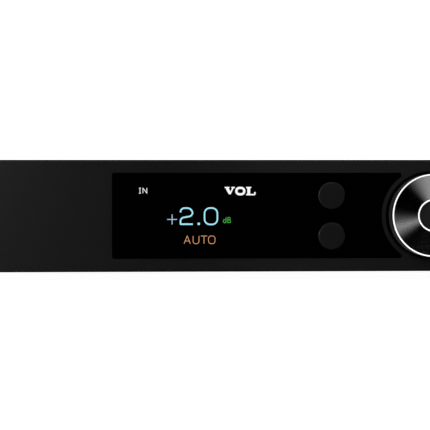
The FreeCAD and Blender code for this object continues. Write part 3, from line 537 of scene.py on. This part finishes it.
makeCharacters("titleWord", [
    (0.50, [([(3.5, 33.06, 0), (5.2, 33.06, 0)], False), ([(5.9, 33.06, 0), (7.1, 33.06, 0)], False),
            ([(5.35, 30.66, 0), (6.5, 33.03, 0)], False),
            ([(11.2, 33.06, 0), (13.0, 33.06, 0)], False), ([(11.2, 30.53, 0), (14.3, 30.53, 0)], False),
            ([(14.3, 30.53, 0), (14.3, 31.45, 0)], False)]),
    (1.00, [([(4.3, 32.86, 0), (5.4, 30.88, 0)], False), ([(12.1, 32.94, 0), (12.1, 30.66, 0)], False)]),
    (0.84, [([(7.65, 30.66, 1.14), (7.65, 32.94, 1.14), (10.5, 32.94, 1.14), (10.5, 30.66, 1.14)], True)]),
], windowFace, litFinish("litWhite", display["titleColour"]))
print("display characters made")


# Coloured insulators inside the phono jacks, and the marks of the power rocker

jackRing = {
    "inner": 1.75,
    "outer": 3.42,
    "thick": 0.5,
    "behindRim": 1.5,
    "edge": 0.1,
    "steps": 64,
    "gain": 1.15,  # the light part of its grain is the colour times gain, plus lift
    "lift": 0.01,
    "finish": dict(rough=(0.34, 0.44), grain=0.2 * mm, depth=0.004 * mm),
}
jackColours = {"left_line_jack": (0.62, 0.61, 0.58), "right_line_jack": (0.45, 0.012, 0.012),
               "coax_jack": (0.62, 0.16, 0.01)}


def makeJackRing(node, colour):
    low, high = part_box(node)
    seat = high.y - jackRing["behindRim"] * mm
    centre = Vector(((low.x + high.x) / 2, seat, (low.z + high.z) / 2))
    inner, outer, thick, edge = (jackRing[key] for key in ("inner", "outer", "thick", "edge"))
    profile = [(inner, 0), (outer, 0), (outer, thick - edge), (outer - edge, thick), (inner + edge, thick),
               (inner, thick - edge), (inner, 0)]
    bm = spinProfile(profile, centre, jackRing["steps"])
    light = tuple(min(1, value * jackRing["gain"] + jackRing["lift"]) for value in colour)
    look = grainFinish(node + "Insulator", colour, light, **jackRing["finish"])
    return finishPiece(node.replace("_", "") + "Ring", bm, [look], "chassis")


for node, colour in jackColours.items():
    makeJackRing(node, colour)

rocker = {
    "axis": (89.0, 23.0),  # place of the pin, behind the middle of the object and above its base
    "tilt": 9.0,  # degrees the rocker leans at rest
    "slope": 8.43,  # degrees each half of its face falls away from the middle
    "markAt": 5.1,
    "surface": 3.97,
    "weight": 0.45,
    "flat": 0.12,
    "markSize": (1.3, 1.5),  # radius of the circle's ends, and half the height of both marks
    "look": dict(dark=(0.72, 0.72, 0.72), light=(0.8, 0.8, 0.8), rough=(0.45, 0.55), grain=0.2 * mm,
                 depth=0),
}


def makeRockerMarks():
    low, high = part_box("power_rocker")
    behind, above = rocker["axis"]
    middle = Vector(((low.x + high.x) / 2, behind * mm, above * mm))
    look = grainFinish("markWhite", **rocker["look"])
    wide, tall = rocker["markSize"]
    line = [([(0, -tall, 0), (0, tall, 0)], False)]
    circle = [([(-wide, -tall, wide), (-wide, tall, wide), (wide, tall, wide), (wide, -tall, wide)], True)]
    for name, strokes, side in (("rockerLine", line, 1), ("rockerCircle", circle, -1)):
        spot = Vector((0, rocker["surface"] * mm, side * rocker["markAt"] * mm))
        turn = Matrix.Rotation(radians(rocker["tilt"]), 4, "X")
        lean = Matrix.Rotation(radians(-side * rocker["slope"]), 4, "X")
        place = Matrix.Translation(middle) @ turn @ Matrix.Translation(spot) @ lean
        makeCharacters(name, [(rocker["weight"], strokes)], 0, look, "power_rocker",
                       rocker["flat"], place)


makeRockerMarks()
print("rear details made")


# Camera, world, lights and floor

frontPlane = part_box("front_panel")[0].y
shot = {"distance": 0.9, "turn": 4.27, "height": 23.26 * mm, "lens": 211.0, "sensor": 36.0, "roll": 1.46e-3}
turn, distance = radians(shot["turn"]), shot["distance"]
cameraData = bpy.data.cameras.new("camera")
cameraData.lens = shot["lens"]
cameraData.sensor_width = shot["sensor"]
camera = bpy.data.objects.new("camera", cameraData)
bpy.context.scene.collection.objects.link(camera)
aim = Vector((sin(turn), cos(turn), 0))
camera.matrix_world = (
    Matrix.Translation((-distance * sin(turn), frontPlane - distance * cos(turn), shot["height"]))
    @ aim.to_track_quat("-Z", "Y").to_matrix().to_4x4()
    @ Matrix.Rotation(-shot["roll"], 4, "Z")
)
bpy.context.scene.camera = camera

studio = {
    "sideLight": 1.25,
    "darkFrom": 66.0,  # degrees off the front axis: dark inside this, fully lit past brightFrom
    "brightFrom": 75.0,
    "bandStrength": 2.75,  # two soft lights ahead of the object, which make the streaks of the spun face
    "bandReach": (9.0, 14.0, 22.0, 28.0),  # degrees off the front axis where they start, are full, and end
    "bandTurns": [(15, 0), (45, 0.345), (68, 0.345), (100, 0), (160, 0), (174, 0.04), (188, 0.25),
                  (202, 0.74), (208, 1), (213, 0.84), (223, 0.38), (236, 0.02), (242, 0)],
}


def makeWorld():
    world = bpy.data.worlds.new("studio")
    bpy.context.scene.world = world
    world.use_nodes = True
    tree = world.node_tree
    background = tree.nodes["Background"]
    background.inputs["Color"].default_value = (1, 1, 1, 1)
    direction = addNode(tree, "TexCoord").outputs["Generated"]

    def softly(value, start, end):
        inputs = {"Value": value, "From Min": cos(radians(start)), "From Max": cos(radians(end))}
        return addNode(tree, "MapRange", inputs, interpolation_type="SMOOTHSTEP").outputs["Result"]

    axes = addNode(tree, "SeparateXYZ", {"Vector": direction})
    ahead = arithmetic(tree, "MULTIPLY", axes.outputs["Y"], -1)
    turned = arithmetic(tree, "ARCTAN2", axes.outputs["Z"], axes.outputs["X"])
    turns = arithmetic(tree, "ADD", arithmetic(tree, "DIVIDE", turned, 2 * pi), 1)
    ramp = addNode(tree, "ValToRGB", {"Fac": arithmetic(tree, "FRACT", turns, 0)})
    ramp.color_ramp.interpolation = "LINEAR"
    stops = ramp.color_ramp.elements
    for index, (degrees, level) in enumerate(studio["bandTurns"]):
        stop = stops[index] if index < 2 else stops.new(degrees / 360)
        stop.position = degrees / 360
        stop.color = (level, level, level, 1)
    start, full, fade, end = studio["bandReach"]
    band = arithmetic(tree, "MULTIPLY", softly(ahead, start, full), softly(ahead, end, fade))
    band = arithmetic(tree, "MULTIPLY", band, ramp.outputs["Color"])
    band = arithmetic(tree, "MULTIPLY", band, studio["bandStrength"])
    beside = softly(ahead, studio["darkFrom"], studio["brightFrom"])
    sides = arithmetic(tree, "MULTIPLY", beside, studio["sideLight"])
    total = arithmetic(tree, "ADD", sides, band)
    seen = addNode(tree, "LightPath").outputs["Is Camera Ray"]
    tree.links.new(arithmetic(tree, "MAXIMUM", total, seen), background.inputs["Strength"])


makeWorld()

lights = {
    "leftLight": dict(place=(-0.15, -0.168, 0.07), aim=(-0.10, -0.098, 0.03), size=(0.05, 0.05),
                      power=0.065, spread=180),
    "rightLight": dict(place=(0.0, -0.20, 0.07), aim=(0.068, -0.098, 0.025), size=(0.05, 0.05),
                       power=0.0049, spread=70),
    "knobCard": dict(place=(0.07, -0.0905, 0.0012), aim=(0.07, -0.0905, 0.1), size=(3.0, 0.05),
                     power=0.6, spread=180),  # a strip below the knob, for the lower half of its edges
}


def makeLight(name, lit):
    look = lights[name]
    data = bpy.data.lights.new(name, "AREA")
    data.shape = "RECTANGLE"
    data.size, data.size_y = look["size"]
    data.energy = look["power"]
    data.spread = radians(look["spread"])
    light = bpy.data.objects.new(name, data)
    bpy.context.scene.collection.objects.link(light)
    light.location = look["place"]
    direction = Vector(look["aim"]) - Vector(look["place"])
    light.rotation_euler = direction.to_track_quat("-Z", "Y").to_euler()
    light.visible_camera = False
    group = bpy.data.collections.new(name + "Lights")
    for piece in lit:
        group.objects.link(piece)
    light.light_linking.receiver_collection = group


makeLight("leftLight", [nodes["front_panel"], *buttonPieces])
makeLight("rightLight", [nodes["front_panel"]])
makeLight("knobCard", [knobPiece])

floor = {
    "left": -1.5,
    "right": 1.5,
    "front": -0.1155,  # close ahead of the knob, so that its edges still see the bright world below
    "back": 1.5,
    "glow": 0.98,
    "colour": (0.3, 0.3, 0.3),
    "rough": 0.9,
}


def makeFloor():
    bm = bmesh.new()
    bmesh.ops.create_grid(bm, x_segments=1, y_segments=1, size=0.5)
    wide, deep = floor["right"] - floor["left"], floor["back"] - floor["front"]
    bmesh.ops.scale(bm, vec=(wide, deep, 1), verts=bm.verts)
    middle = ((floor["right"] + floor["left"]) / 2, (floor["back"] + floor["front"]) / 2, 0)
    bmesh.ops.translate(bm, vec=middle, verts=bm.verts)
    mesh = bpy.data.meshes.new("floor")
    bm.to_mesh(mesh)
    bm.free()
    paper, tree, shader = startMaterial("paleFloor", floor["colour"], floor["rough"],
                                        Specular_IOR_Level=0.0)
    shader.inputs["Emission Color"].default_value = (1, 1, 1, 1)
    seen = addNode(tree, "LightPath").outputs["Is Camera Ray"]  # white to the eye, but throws little light
    tree.links.new(arithmetic(tree, "MULTIPLY", seen, floor["glow"]), shader.inputs["Emission Strength"])
    mesh.materials.append(paper)
    made = bpy.data.objects.new("floor", mesh)
    bpy.context.scene.collection.objects.link(made)


makeFloor()
bpy.context.scene.view_settings.view_transform = "Standard"
print("camera, lights and floor ready")
